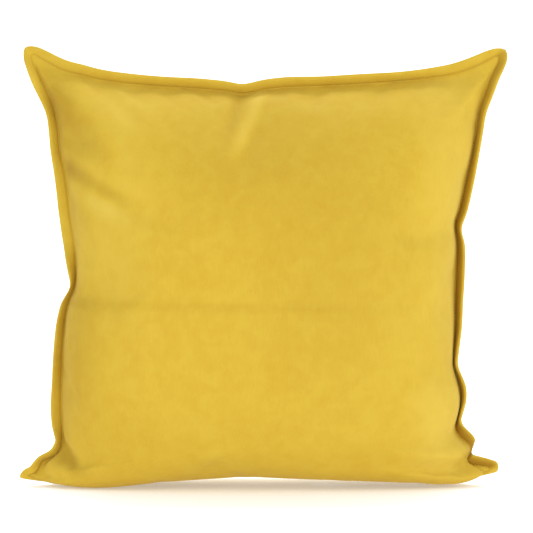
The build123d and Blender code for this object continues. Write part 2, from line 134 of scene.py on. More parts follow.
def through(points, shares):
    """Places at these shares of the way along a smooth line through points."""
    points = np.array(points, float)
    steps = np.linalg.norm(np.diff(points[:, :2], axis=0), axis=1)
    way = np.concatenate([[0.0], np.cumsum(steps)]) / steps.sum()
    slope = np.gradient(points, way, axis=0)
    shares = np.clip(np.asarray(shares, float), 0, 1)
    k = np.clip(np.searchsorted(way, shares, "right") - 1, 0, len(way) - 2)
    gap = (way[k + 1] - way[k])[:, None]
    t = ((shares - way[k])[:, None]) / gap
    return (
        (2 * t**3 - 3 * t**2 + 1) * points[k]
        + (t**3 - 2 * t**2 + t) * gap * slope[k]
        + (3 * t**2 - 2 * t**3) * points[k + 1]
        + (t**3 - t**2) * gap * slope[k + 1]
    )


def row_shares(points):
    """Where each row of the panels lies along an upright line, with the zip's rows at its heights."""
    tries = np.linspace(0, 1, 4001)
    heights = through(points, tries)[:, 1]
    lowest = np.argmin(heights)
    marks = [-TAPE_REACH, -CHANNEL_HALF, 0, CHANNEL_HALF, TAPE_REACH]
    found = np.interp([ZIP_Z + m for m in marks], heights[lowest:], tries[lowest:])
    at = [0, ZIP_ROW - ZIP_HALF_ROWS, ZIP_ROW - 1, ZIP_ROW, ZIP_ROW + 1, ZIP_ROW + ZIP_HALF_ROWS, ROWS]
    return np.interp(np.arange(ROWS + 1), at, [0, *found, 1])


def smooth(t):
    t = np.clip(t, 0, 1)
    return t * t * (3 - 2 * t)


across = np.linspace(0, 1, COLUMNS + 1)
bottom_line, top_line = through(BOTTOM_EDGE, across), through(TOP_EDGE, across)
left_line = through(LEFT_EDGE, row_shares(LEFT_EDGE))
right_line = through(RIGHT_EDGE, row_shares(RIGHT_EDGE))


def section_shares(section):
    """Depth and share of the height of each row, from the section through the middle."""
    line = through(section, row_shares(section))
    return line[:, 0], (line[:, 1] - section[0][1]) / (section[-1][1] - section[0][1])


def height_share(line):
    """Each row's share of the height along one side."""
    return (line[:, 1] - line[0, 1]) / (line[-1, 1] - line[0, 1])


def side_bend(line):
    """How far one side stands off the straight line between its corners, by share of the height."""
    shares = np.maximum.accumulate(height_share(line))
    bends = line[:, 0] - (line[0, 0] + (line[-1, 0] - line[0, 0]) * shares)
    return lambda share: float(np.interp(share, shares, bends))


left_share, right_share = height_share(left_line), height_share(right_line)
left_bend, right_bend = side_bend(left_line), side_bend(right_line)


# How full the panels are from side to side: the middle part that is even, and how round the ends are
FULLNESS, FULLNESS_ROUND = 2.8, 0.48


def panel_place(i, j, depths, heights, side):
    """Where a panel's corner of column i and row j is before it is filled: side -1 is the front."""
    if i == 0:
        return left_line[j, 0], 0, left_line[j, 1]
    if i == COLUMNS:
        return right_line[j, 0], 0, right_line[j, 1]
    u = across[i]
    full = (1 - abs(2 * u - 1) ** FULLNESS) ** FULLNESS_ROUND
    upright = ((1 - u) * left_share[j] + u * right_share[j]) * (1 - full) + heights[j] * full
    low, high = bottom_line[i, :2], top_line[i, :2]
    x, z = (1 - upright) * low + upright * high
    x += (1 - u) * left_bend(upright) + u * right_bend(upright)
    return x, side * depths[j] * full, z


def on_zip(arc, height, depth):
    """A place on the back: the way along the zip, the height over it, the depth under the face."""
    turn, reach = arc / ZIP_RADIUS, ZIP_RADIUS - depth
    return Vector((reach * math.sin(turn), ZIP_CENTRE_Y + reach * math.cos(turn), ZIP_Z + height))


def zip_place(x, height):
    return x, ZIP_CENTRE_Y + math.sqrt(ZIP_RADIUS**2 - x * x), ZIP_Z + height


def zip_pull(x, j):
    """How strongly the zip holds the back at this place, 0 to 1."""
    beside = max(0, abs(j - ZIP_ROW) - ZIP_HALF_ROWS) / HOLD_FADE_ROWS
    along = max(0, abs(x) - HOLD_ENDS) / HOLD_FADE
    return float(smooth(1 - beside) * smooth(1 - along))


# The zip's first and last open columns are brought to the ends of its opening
zip_line = (left_line[ZIP_ROW, 0], right_line[ZIP_ROW, 0])
zip_end = ZIP_RADIUS * math.sin((ZIP_HALF + LIP_ROUND) / ZIP_RADIUS)
first_open = round((-zip_end - zip_line[0]) / (zip_line[1] - zip_line[0]) * COLUMNS)
last_open = round((zip_end - zip_line[0]) / (zip_line[1] - zip_line[0]) * COLUMNS)


def zip_column(x):
    """Moves a place along the zip so that the opening ends on a column."""
    left, right = zip_line
    ends = [left + (right - left) * k / COLUMNS for k in (first_open, last_open)]
    return float(np.interp(x, [left, *ends, right], [left, -zip_end, zip_end, right]))


def make_object(name, bm, material):
    mesh = bpy.data.meshes.new(name)
    bm.to_mesh(mesh)
    bm.free()
    piece = bpy.data.objects.new(name, mesh)
    bpy.context.scene.collection.objects.link(piece)
    if material:
        mesh.materials.append(material)
    for face in mesh.polygons:
        face.use_smooth = True
    return piece


def envelope():
    """Front and back panels, sewn along the seam. Each vertex remembers its side, column and row."""
    bm = bmesh.new()
    side_of = bm.verts.layers.int.new("side")
    column_of = bm.verts.layers.int.new("column")
    row_of = bm.verts.layers.int.new("row")
    held = bm.verts.layers.float.new("held")
    # a layer for painted shade and painted highlight, which the velvet's colour follows
    bm.verts.layers.float.new("painted_shading")
    panel_of = bm.faces.layers.int.new("panel")
    for side, section in ((-1, FRONT_SECTION), (1, BACK_SECTION)):
        depths, heights = section_shares(section)
        grid = bmesh.ops.create_grid(bm, x_segments=COLUMNS, y_segments=ROWS, size=0.5)
        for v in grid["verts"]:
            i, j = round((v.co.x + 0.5) * COLUMNS), round((v.co.y + 0.5) * ROWS)
            x, y, z = panel_place(i, j, depths, heights, side)
            if side == 1:
                x += (zip_column(x) - x) * zip_pull(0, j)
            on_seam = i in (0, COLUMNS) or j in (0, ROWS)
            grip = 1.0 if on_seam else 0.0
            if side == 1 and not on_seam:
                pull = zip_pull(x, j)
                if pull > 0:
                    height = z - ZIP_Z
                    if abs(j - ZIP_ROW) <= ZIP_HALF_ROWS:
                        marks = (-TAPE_REACH, -CHANNEL_HALF, 0, CHANNEL_HALF, TAPE_REACH)
                        at = (-ZIP_HALF_ROWS, -1, 0, 1, ZIP_HALF_ROWS)
                        height = float(np.interp(j - ZIP_ROW, at, marks))
                    zx, zy, zz = zip_place(x, height)
                    x, y, z = x + (zx - x) * pull, y + (zy - y) * pull, z + (zz - z) * pull
                    grip = 1.0 if pull > 0.99 else 0.0
            v.co = Vector((x, y, z)) * MM
            v[side_of], v[column_of], v[row_of], v[held] = side, i, j, grip
        faces = list({f for v in grid["verts"] for f in v.link_faces})
        for face in faces:
            face[panel_of] = side
        if side == 1:
            bmesh.ops.reverse_faces(bm, faces=faces)
    seam = [v for v in bm.verts if v[column_of] in (0, COLUMNS) or v[row_of] in (0, ROWS)]
    bmesh.ops.remove_doubles(bm, verts=seam, dist=0.05 * MM)
    return bm


FILL_PRESSURE = 4.0
FILL_FRAMES = 25


def fill_with_pressure(piece):
    """Blows the sewn cover out. The seam and the zip stay where they are."""
    grips = [value.value for value in piece.data.attributes["held"].data]
    pins = piece.vertex_groups.new(name="held")
    for k, grip in enumerate(grips):
        if grip > 0:
            pins.add([k], grip, "REPLACE")
    cloth = piece.modifiers.new("Cloth", "CLOTH")
    s = cloth.settings
    s.quality = 7
    s.mass = 0.25
    s.tension_stiffness = s.compression_stiffness = 25
    s.shear_stiffness = 12
    s.bending_model = "ANGULAR"
    s.bending_stiffness = 4
    s.tension_damping = s.compression_damping = s.shear_damping = 8
    s.bending_damping = 1
    s.air_damping = 3
    s.vertex_group_mass = "held"
    s.pin_stiffness = 1
    s.shrink_min = -0.008
    s.shrink_max = -0.008
    s.use_pressure = True
    s.uniform_pressure_force = FILL_PRESSURE
    s.effector_weights.gravity = 0
    cloth.collision_settings.use_collision = False
    cloth.collision_settings.use_self_collision = False
    cloth.point_cache.frame_start = 1
    cloth.point_cache.frame_end = FILL_FRAMES + 1
    before = np.array([v.co for v in piece.data.vertices])
    for moment in range(1, FILL_FRAMES + 1):
        bpy.context.scene.frame_set(moment)
    evaluated = piece.evaluated_get(bpy.context.evaluated_depsgraph_get())
    after = np.array([v.co for v in evaluated.data.vertices])
    piece.modifiers.remove(cloth)
    rows = np.array([value.value for value in piece.data.attributes["row"].data])
    share = smooth(rows / STANDING_ROWS)[:, None]
    for v, co in zip(piece.data.vertices, before + (after - before) * share):
        v.co = co
    piece.data.update()
    bpy.context.scene.frame_set(1)


# ---------------------------------------------------------------- the filled cover
# Soft folds of the front: places x, z along the fold, half width, height (a ridge is positive)
FRONT_FOLDS = [
    ([(-205, 405), (-166, 366), (-126, 311)], 34, 3.5),
    ([(-190, 322), (-161, 300), (-121, 275), (-90, 262)], 17, -3.5),
    ([(-20, 392), (-25, 376), (-29, 352)], 10, -2.5),
    ([(-3, 388), (-13, 360), (-27, 326)], 12, 2.5),
    ([(-185, 183), (-60, 181), (80, 180), (195, 178)], 9, -0.6),
    ([(222, 408), (200, 388), (182, 360), (172, 325)], 22, -2.5),
    ([(-203, 46), (-192, 32), (-179, 18)], 8, -7.0),
    ([(150, 20), (178, 25), (199, 24)], 9, -2.5),
    ([(183, 8), (192, 14), (201, 24)], 7, -3.0),
]
BACK_FOLDS = [
    ([(205, 400), (170, 362), (130, 330)], 30, -3.0),
    ([(-207, 398), (-176, 362), (-150, 320)], 28, -3.0),
    ([(195, 40), (170, 58), (140, 66)], 20, -3.0),
    ([(-196, 42), (-172, 60), (-146, 70)], 20, -3.0),
]


# Painted shade and painted highlight on the front, in strokes: places x, z along the stroke, half
# width, and how much shade, where painted highlight is negative
PAINTED_SHADING_STROKES = [
    ([(-218, 396), (-202, 350), (-194, 300), (-186, 240), (-186, 215)], 34, 0.32),
    ([(-203, 384), (-172, 350), (-150, 318), (-135, 296)], 22, 0.3),
    ([(-190, 318), (-165, 300), (-132, 281), (-108, 268)], 12, 0.36),
    ([(-186, 298), (-150, 276), (-118, 260)], 17, -0.22),
    ([(-192, 180), (-187, 120), (-192, 60), (-190, 30)], 44, 0.22),
    ([(-205, 44), (-190, 30), (-179, 16), (-172, 8)], 10, 0.4),
    ([(-20, 396), (-25, 376), (-30, 350), (-33, 330)], 9, 0.2),
    ([(-2, 392), (-12, 362), (-27, 326), (-34, 308)], 11, -0.34),
    ([(0, 330), (70, 280), (75, 200), (40, 120), (0, 60)], 125, 0.17),
    ([(-192, 183), (-60, 181), (80, 180), (198, 178)], 7, 0.13),
    ([(186, 400), (190, 300), (188, 180), (180, 90)], 52, -0.16),
    ([(172, 84), (176, 50), (174, 16), (172, -10)], 40, -0.2),
    ([(-140, 400), (-140, 340), (-130, 200), (-130, 80)], 50, -0.08),
]


def paint_shading_strokes(piece, strokes, side):
    """Paints shade and highlight on one panel, in strokes."""
    marks = np.array([value.value for value in piece.data.attributes["side"].data])
    places = np.array([v.co for v in piece.data.vertices]) / MM
    painted_shading = np.zeros(len(places))
    for points, reach, strength in strokes:
        line = through(points, np.linspace(0, 1, LINE_STEPS))
        gaps = np.hypot(places[:, [0]] - line[:, 0], places[:, [2]] - line[:, 1])
        to_go = 1 - gaps.argmin(axis=1) / (LINE_STEPS - 1)
        beside = np.clip(gaps.min(axis=1) / reach, 0, 1)
        painted_shading += strength * smooth(to_go * 2.2) * (1 - beside**2) ** 2
    piece.data.attributes["painted_shading"].data.foreach_set("value", np.where(marks == side, painted_shading, 0))


def press_folds(piece, folds, side):
    """Draws soft ridges and valleys on one panel, along its normals."""
    marks = [value.value for value in piece.data.attributes["side"].data]
    held = [value.value for value in piece.data.attributes["held"].data]
    normals = [v.normal.copy() for v in piece.data.vertices]
    for points, reach, height in folds:
        line = through(points, np.linspace(0, 1, LINE_STEPS))
        for k, v in enumerate(piece.data.vertices):
            if marks[k] != side or held[k]:
                continue
            gaps = np.hypot(line[:, 0] - v.co.x / MM, line[:, 1] - v.co.z / MM)
            nearest = int(np.argmin(gaps))
            beside = gaps[nearest] / reach
            if beside < 1:
                along = nearest / (LINE_STEPS - 1)
                fade = math.sin(math.pi * (0.12 + 0.76 * along)) if 0 < along < 1 else 0.37
                v.co += normals[k] * (height * MM * (1 - beside * beside) ** 2 * fade)


form = make_object("filled_cover", envelope(), None)
fill_with_pressure(form)
press_folds(form, FRONT_FOLDS, -1)
press_folds(form, BACK_FOLDS, 1)
# painted shade and painted highlight on the front
paint_shading_strokes(form, PAINTED_SHADING_STROKES, -1)
for v in form.data.vertices:
    v.co.z = max(v.co.z, FLOOR_GAP * MM)

# ---------------------------------------------------------------- flange and lips
# The flange's face from the seam to its edge: way out, height over the middle
FLANGE_FACE = [
    (0.0, 1.3), (TOPSTITCH_FROM_SEAM, 0.8), (3.0, 1.9), (6.2, 2.1), (9.4, 2.0), (11.4, 1.35),
    (FLANGE, 0.0),
]


LEAN_FADE = 3  # the flange leans less and less over this many places from each end


def flange_lean(line):
    """How far the flange's edge stands out of the seam's plane, so that the flange keeps its width."""
    seen = np.hypot(line[:, 2] - line[:, 0], line[:, 3] - line[:, 1])
    lean = np.clip(line[:, 4], -1, 1) * np.sqrt(np.maximum(0, FLANGE**2 - seen**2))
    ends = np.minimum(np.arange(len(lean)), np.arange(len(lean))[::-1]) / LEAN_FADE
    return lean * smooth(ends)


edges = {
    "bottom": (bottom_line, flange_lean(bottom_line)),
    "top": (top_line, flange_lean(top_line)),
    "left": (left_line, flange_lean(left_line)),
    "right": (right_line, flange_lean(right_line)),
}


def flange_place(i, j, out, rise, side):
    """A place on the flange beside the seam's vertex of column i and row j."""
    if j == 0:
        line, lean, k = *edges["bottom"], i
    elif j == ROWS:
        line, lean, k = *edges["top"], i
    elif i == 0:
        line, lean, k = *edges["left"], j
    else:
        line, lean, k = *edges["right"], j
    x, z, far_x, far_z, _ = line[k]
    way = Vector((far_x - x, lean[k], far_z - z))
    facing = Vector((0, side, 0))
    normal = (facing - way.normalized() * facing.dot(way.normalized())).normalized()
    return (Vector((x, 0, z)) + way * (out / FLANGE) + normal * rise) * MM


def painted_flange_shade(i, j, ring, side):
    """How much painted shade the flange gets, 0 to 1, by ring from the seam outwards: along the seam, and in
    the valley between the body and the right flange's front.
    """
    if side == 1:
        return (0.5, 0.5, 0.1, 0, 0, 0, 0)[ring]
    if i == COLUMNS and j > 0:
        return (0.2, 1, 1, 0.9, 0.6, 0.1, 0)[ring] * (1 - 0.35 * smooth(j / ROWS * 3.2 - 2))
    if i == 0:
        return (0.1, 0.6, 0, 0, 0, 0, 0)[ring] * (1.5 - smooth(j / 20))
    return (0.1, 0.45, 0.15, 0.1, 0.05, 0, 0)[ring]


def grow_flange(bm, side):
    """One side's leaf of the flange, grown from the panel's edge."""
    column_of, row_of = bm.verts.layers.int["column"], bm.verts.layers.int["row"]
    painted_shading_of = bm.verts.layers.float["painted_shading"]
    rim = [
        e for e in bm.edges
        if e.is_boundary and all(v[column_of] in (0, COLUMNS) or v[row_of] in (0, ROWS) for v in e.verts)
    ]
    for ring, (out, rise) in enumerate(FLANGE_FACE):
        if ring:
            grown = bmesh.ops.extrude_edge_only(bm, edges=rim)["geom"]
            rim = [e for e in grown if isinstance(e, bmesh.types.BMEdge) and e.is_boundary]
        for v in {v for e in rim for v in e.verts}:
            v.co = flange_place(v[column_of], v[row_of], out, rise, side)
            # painted shade on the flange, kept in each vertex for the velvet's colour
            v[painted_shading_of] = painted_flange_shade(v[column_of], v[row_of], ring, side)


# The lip of the zip's opening: way back from its edge, depth under the velvet's face
LIP = [(LIP_ROUND, 0.0), (0.15, 0.35), (0.0, 0.95), (0.25, 1.6), (0.9, 2.0), (7.5, 2.05)]


def open_zip(bm):
    """Takes out the strip between the zip's lips, and turns the lips under."""
    column_of, row_of = bm.verts.layers.int["column"], bm.verts.layers.int["row"]
    strip = []
    for face in bm.faces:
        rows = [v[row_of] for v in face.verts]
        columns = [v[column_of] for v in face.verts]
        if min(rows) >= ZIP_ROW - 1 and max(rows) <= ZIP_ROW + 1:
            if min(columns) >= first_open and max(columns) <= last_open:
                strip.append(face)
    bmesh.ops.delete(bm, geom=strip, context="FACES")
    for v in bm.verts:
        if first_open <= v[column_of] <= last_open:
            continue
        if v[column_of] not in (0, COLUMNS) and abs(v[row_of] - ZIP_ROW) <= 1:
            height = (v[row_of] - ZIP_ROW) * 1.1
            v.co.z = (ZIP_Z + height) * MM
            if v[row_of] == ZIP_ROW:
                v.co -= v.normal * 1.4 * MM
    rim = [
        e for e in bm.edges
        if e.is_boundary and not any(v[column_of] in (0, COLUMNS) or v[row_of] in (0, ROWS) for v in e.verts)
    ]
    for k, (back, depth) in enumerate(LIP):
        if k:
            grown = bmesh.ops.extrude_edge_only(bm, edges=rim)["geom"]
            rim = [e for e in grown if isinstance(e, bmesh.types.BMEdge) and e.is_boundary]
        for v in {v for e in rim for v in e.verts}:
            i, up = v[column_of], v[row_of] - ZIP_ROW
            end = 1 if i == last_open else -1 if i == first_open else 0
            found = end * ZIP_HALF / ZIP_RADIUS or math.asin(v.co.x / MM / ZIP_RADIUS)
            turn = lip_angle.setdefault(i, found) + end * back / ZIP_RADIUS
            v.co = on_zip(turn * ZIP_RADIUS, up * (CHANNEL_HALF + back), depth) * MM


# The turn of each column of the lips round the zip's arc, as first found
lip_angle = {}


def sew_cover(piece, side):
    """One side's panel of the filled cover, with its flange, as a bmesh."""
    bm = bmesh.new()
    bm.from_mesh(piece.data)
    panel_of = bm.faces.layers.int["panel"]
    bmesh.ops.delete(bm, geom=[f for f in bm.faces if f[panel_of] != side], context="FACES")
    bm.normal_update()
    if side == 1:
        open_zip(bm)
    grow_flange(bm, side)
    return bm


cover = sew_cover(form, -1)
back_bm = sew_cover(form, 1)
back_mesh = bpy.data.meshes.new("back")
back_bm.to_mesh(back_mesh)
back_bm.free()
cover.from_mesh(back_mesh)
bpy.data.meshes.remove(back_mesh)
bmesh.ops.remove_doubles(cover, verts=[v for v in cover.verts if v.is_boundary], dist=0.01 * MM)


# ---------------------------------------------------------------- finishes
def new_group(name, inputs, outputs):
    """An empty node group with these sockets, and its input and output nodes."""
    tree = bpy.data.node_groups.new(name, "ShaderNodeTree")
    for label, kind, value in inputs:
        made = tree.interface.new_socket(label, in_out="INPUT", socket_type=kind)
        if value is not None:
            made.default_value = value
    for label, kind in outputs:
        tree.interface.new_socket(label, in_out="OUTPUT", socket_type=kind)
    return tree, tree.nodes.new("NodeGroupInput"), tree.nodes.new("NodeGroupOutput")


def add_node(tree, kind, settings=None, **inputs):
    """A node with its settings, and its inputs by name (spaces as _) linked or given a value."""
    node = tree.nodes.new(kind)
    for key, value in (settings or {}).items():
        setattr(node, key, value)
    for key, value in inputs.items():
        target = node.inputs[int(key[1:])] if key[0] == "_" else node.inputs[key.replace("_", " ")]
        if isinstance(value, bpy.types.NodeSocket):
            tree.links.new(value, target)
        else:
            target.default_value = value
    return node


def maths(tree, operation, *values, clamp=False):
    """One step of arithmetic on these values."""
    inputs = {f"_{k}": value for k, value in enumerate(values)}
    settings = {"operation": operation, "use_clamp": clamp}
    return add_node(tree, "ShaderNodeMath", settings, **inputs).outputs[0]


def blend(tree, share, low, high):
    """The colour low where the share is 0, and high where it is 1."""
    settings = {"data_type": "RGBA", "clamp_factor": True}
    return add_node(tree, "ShaderNodeMix", settings, _0=share, _6=low, _7=high).outputs[2]


def noise(tree, place, scale, detail, distortion=0.0):
    inputs = {"Vector": place, "Scale": scale, "Detail": detail, "Distortion": distortion}
    return add_node(tree, "ShaderNodeTexNoise", **inputs).outputs[0]


def grain_group():
    """Fine broken streaks along the cloth's length, with specks: around 0, for a height or a tint."""
    tree, inside, outside = new_group(
        "cloth_grain",
        [
            ("Place", "NodeSocketVector", None),
            ("Across", "NodeSocketFloat", 900.0),
            ("Along", "NodeSocketFloat", 90.0),
            ("Specks", "NodeSocketFloat", 1500.0),
        ],
        [("Grain", "NodeSocketFloat")],
    )
    place, across, along, specks = (inside.outputs[key] for key in ("Place", "Across", "Along", "Specks"))
    stretch = add_node(tree, "ShaderNodeCombineXYZ", X=across, Y=across, Z=along).outputs[0]
    scaled = add_node(
        tree, "ShaderNodeVectorMath", {"operation": "MULTIPLY"}, _0=place, _1=stretch
    ).outputs[0]
    both = maths(tree, "ADD", noise(tree, scaled, 1.0, 2.0), noise(tree, place, specks, 1.0))
    tree.links.new(maths(tree, "SUBTRACT", both, 1.0), outside.inputs["Grain"])
    return tree


def pile_group():
    """How the pile is brushed, 0 to 1: wide patches broken up by small marks."""
    tree, inside, outside = new_group(
        "brushed_pile",
        [
            ("Place", "NodeSocketVector", None),
            ("Patch", "NodeSocketFloat", 6.0),
            ("Marks", "NodeSocketFloat", 38.0),
        ],
        [("Brushed", "NodeSocketFloat")],
    )
    place, patch, marks = (inside.outputs[key] for key in ("Place", "Patch", "Marks"))
    spans = {"From_Min": 0.3, "From_Max": 0.7}
    wide = add_node(
        tree, "ShaderNodeMapRange", Value=noise(tree, place, patch, 2.0, 0.6), To_Min=0.3, To_Max=0.7, **spans
    ).outputs[0]
    fine = add_node(
        tree, "ShaderNodeMapRange", Value=noise(tree, place, marks, 3.0, 0.4), To_Min=-0.2, To_Max=0.2, **spans
    ).outputs[0]
    tree.links.new(maths(tree, "ADD", wide, fine, clamp=True), outside.inputs["Brushed"])
    return tree


cloth_grain, brushed_pile = grain_group(), pile_group()


def new_material(name):
    material = bpy.data.materials.new(name)
    material.use_nodes = True
    tree = material.node_tree
    place = tree.nodes.new("ShaderNodeTexCoord").outputs["Object"]
    return material, tree, tree.nodes["Principled BSDF"], place


def grain_at(tree, place, across, along, specks):
    settings = {"node_tree": cloth_grain}
    inputs = {"Place": place, "Across": across, "Along": along, "Specks": specks}
    return add_node(tree, "ShaderNodeGroup", settings, **inputs).outputs["Grain"]


def bump_to(tree, shader, height, strength, distance):
    bump = add_node(tree, "ShaderNodeBump", Height=height, Strength=strength, Distance=distance)
    tree.links.new(bump.outputs[0], shader.inputs["Normal"])


VELVET_DEEP, VELVET_FULL = (0.54, 0.34, 0.023, 1), (0.605, 0.428, 0.043, 1)
# Painted shade and painted highlight: the velvet's colour at full painted shading, each way
PAINTED_SHADE_COLOUR, PAINTED_HIGHLIGHT_COLOUR = (0.3, 0.155, 0.004, 1), (0.78, 0.6, 0.12, 1)


def velvet_finish():
    """Short pile, lighter and darker as it is brushed, with painted shade and painted highlight from each
    panel's strokes and the flange's rings.
    """
    material, tree, shader, place = new_material("velvet")
    grain = grain_at(tree, place, 850.0, 70.0, 1400.0)
    settings = {"node_tree": brushed_pile}
    pile = add_node(tree, "ShaderNodeGroup", settings, Place=place, Patch=5.0, Marks=70.0).outputs["Brushed"]
    colour = blend(tree, maths(tree, "MULTIPLY_ADD", grain, 0.55, pile), VELVET_DEEP, VELVET_FULL)
    # painted shade where the painted shading is positive, painted highlight where it is negative
    painted_shading = add_node(tree, "ShaderNodeAttribute", {"attribute_name": "painted_shading"}).outputs["Fac"]
    colour = blend(tree, painted_shading, colour, PAINTED_SHADE_COLOUR)
    colour = blend(tree, maths(tree, "MULTIPLY", painted_shading, -1.0), colour, PAINTED_HIGHLIGHT_COLOUR)
    tree.links.new(colour, shader.inputs["Base Color"])
    bump_to(tree, shader, grain, 0.35, 0.0004)
    shader.inputs["Roughness"].default_value = 0.85
    shader.inputs["Specular IOR Level"].default_value = 0.25
    shader.inputs["Sheen Weight"].default_value = 0.12
    shader.inputs["Sheen Roughness"].default_value = 0.4
    shader.inputs["Sheen Tint"].default_value = (1.0, 0.82, 0.4, 1)
    return material


def cloth_finish(name, dark, light, across=1500.0, along=300.0, roughness=0.8, sheen=0.1, bump=0.3):
    """A woven or spun finish with streaks between two colours."""
    material, tree, shader, place = new_material(name)
    grain = grain_at(tree, place, across, along, 2500.0)
    colour = blend(tree, maths(tree, "ADD", grain, 0.5), (*dark, 1), (*light, 1))
    tree.links.new(colour, shader.inputs["Base Color"])
    bump_to(tree, shader, grain, bump, 0.0003)
    shader.inputs["Roughness"].default_value = roughness
    shader.inputs["Sheen Weight"].default_value = sheen
    return material


def tape_finish():
    """Woven tape: fine diagonal twill."""
    material, tree, shader, place = new_material("zip_tape")
    turned = add_node(tree, "ShaderNodeMapping", Vector=place, Rotation=(0, math.radians(45), 0)).outputs[0]
    settings = {"bands_direction": "X"}
    twill = add_node(tree, "ShaderNodeTexWave", settings, Vector=turned, Scale=420.0, Distortion=0.4).outputs[1]
    tint = maths(tree, "MULTIPLY_ADD", grain_at(tree, place, 1200.0, 600.0, 2200.0), 0.6, twill)
    colour = blend(tree, tint, (0.4, 0.25, 0.018, 1), (0.62, 0.42, 0.04, 1))
    tree.links.new(colour, shader.inputs["Base Color"])
    bump_to(tree, shader, tint, 0.5, 0.0002)
    shader.inputs["Roughness"].default_value = 0.75
    return material


def hard_finish(name, dark, light, rough_low, rough_high, metallic, coat=0.0):
    """A plastic or metal with fine handling marks in its gloss."""
    material, tree, shader, place = new_material(name)
    lift = maths(tree, "ADD", grain_at(tree, place, 3000.0, 250.0, 900.0), 0.5)
    tree.links.new(blend(tree, lift, (*dark, 1), (*light, 1)), shader.inputs["Base Color"])
    gloss = add_node(tree, "ShaderNodeMapRange", Value=lift, To_Min=rough_low, To_Max=rough_high)
    tree.links.new(gloss.outputs[0], shader.inputs["Roughness"])
    shader.inputs["Metallic"].default_value = metallic
    shader.inputs["Coat Weight"].default_value = coat
    return material


velvet = velvet_finish()
thread = cloth_finish("thread", (0.42, 0.26, 0.012), (0.56, 0.37, 0.028), 2400.0, 2400.0, roughness=0.55)
ribbon = cloth_finish("label_ribbon", (0.82, 0.81, 0.78), (0.92, 0.91, 0.89), roughness=0.45)
ticking = cloth_finish("ticking", (0.8, 0.79, 0.75), (0.9, 0.89, 0.86))
filling = cloth_finish("filling", (0.86, 0.86, 0.84), (0.95, 0.95, 0.94), across=300.0, along=300.0, bump=0.6)
tape_cloth = tape_finish()
coil_plastic = hard_finish("zip_coil", (0.46, 0.29, 0.02), (0.6, 0.4, 0.035), 0.32, 0.48, 0.0, coat=0.1)
slider_metal = hard_finish("slider_metal", (0.5, 0.49, 0.46), (0.68, 0.67, 0.64), 0.22, 0.42, 1.0)

cover_piece = make_object("velvet_cover", cover, velvet)
rounding = cover_piece.modifiers.new("rounding", "SUBSURF")
rounding.levels = rounding.render_levels = 1
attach(cover_piece, "cushion")
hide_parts("cover_front_panel", "cover_back_upper_panel", "cover_back_lower_panel")


# ---------------------------------------------------------------- insert and filling
def panel_places(piece):
    """Where each panel's columns and rows lie, by side."""
    sides, columns, rows = (
        [value.value for value in piece.data.attributes[name].data] for name in ("side", "column", "row")
    )
    places = {side: np.zeros((COLUMNS + 1, ROWS + 1, 3)) for side in (-1, 1)}
    for v, side, i, j in zip(piece.data.vertices, sides, columns, rows):
        on_seam = i in (0, COLUMNS) or j in (0, ROWS)
        for panel in (-1, 1) if on_seam else (side,):
            places[panel][i, j] = v.co
    return places


INSERT_LIFT = 28.0  # the insert's lowest place over the floor


def inner_form(name, border, kept, material, nodes):
    """A padded form inside the cover: it ends a share of the width short of the seam, and keeps a
    share of the depth."""
    bm = envelope()
    side_of, column_of, row_of = (bm.verts.layers.int[key] for key in ("side", "column", "row"))
    for v in bm.verts:
        i, j = v[column_of], v[row_of]
        u, w = border + i / COLUMNS * (1 - 2 * border), border + j / ROWS * (1 - 2 * border)
        near = filled_places[v[side_of]][round(u * COLUMNS), round(w * ROWS)]
        swell = (1 - abs(2 * i / COLUMNS - 1) ** 5) ** 0.5 * (1 - abs(2 * j / ROWS - 1) ** 5) ** 0.5
        v.co = Vector((near[0], near[1] * kept * swell, max(near[2], INSERT_LIFT * MM)))
    bmesh.ops.smooth_vert(bm, verts=bm.verts, factor=0.5, use_axis_x=True, use_axis_y=False, use_axis_z=True)
    piece = make_object(name, bm, material)
    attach(piece, "cushion")
    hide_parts(*nodes)


filled_places = panel_places(form)
insert_nodes = ["insert_front_panel", "insert_back_panel", "insert_seam_thread", "insert_closing_stitch"]
inner_form("insert_cushion", 0.05, 0.93, ticking, insert_nodes)
inner_form("fibre_filling", 0.055, 0.91, filling, ["insert_filling"])
bpy.data.objects.remove(form)


# ---------------------------------------------------------------- stitches
def bead_turn(place, along, facing, size):
    """Where a short rounded bar goes, in mm. Its size is along, facing and across."""
    along = Vector(along).normalized()
    side = Vector(facing).cross(along).normalized()
    facing = along.cross(side)
    turn = Matrix((along * size[0] / 2, facing * size[1] / 2, side * size[2] / 2)).transposed().to_4x4()
    turn.translation = Vector(place)
    return Matrix.Scale(MM, 4) @ turn @ Matrix.Rotation(math.radians(90), 4, "Y")


BATCH = 40


def string_beads(turns):
    """Many short rounded bars as one mesh, made a batch at a time because that is quicker."""
    whole = bmesh.new()
    for first in range(0, len(turns), BATCH):
        batch, mesh = bmesh.new(), bpy.data.meshes.new("batch")
        for turn in turns[first : first + BATCH]:
            bmesh.ops.create_uvsphere(batch, u_segments=6, v_segments=4, radius=1, matrix=turn)
        batch.to_mesh(mesh)
        batch.free()
        whole.from_mesh(mesh)
        bpy.data.meshes.remove(mesh)
    return whole


def evenly(points, pitch):
    """Places and directions at an even pitch along a line of points."""
    points = np.array(points, float)
    way = np.concatenate([[0], np.cumsum(np.linalg.norm(np.diff(points, axis=0), axis=1))])
    count = max(1, round(way[-1] / pitch))
    middles = (np.arange(count) + 0.5) * way[-1] / count
    at = np.stack([np.interp(middles, way, points[:, k]) for k in range(3)], 1)
    ahead = np.stack([np.interp(middles + 0.5, way, points[:, k]) for k in range(3)], 1)
    behind = np.stack([np.interp(middles - 0.5, way, points[:, k]) for k in range(3)], 1)
    return zip(at, ahead - behind)


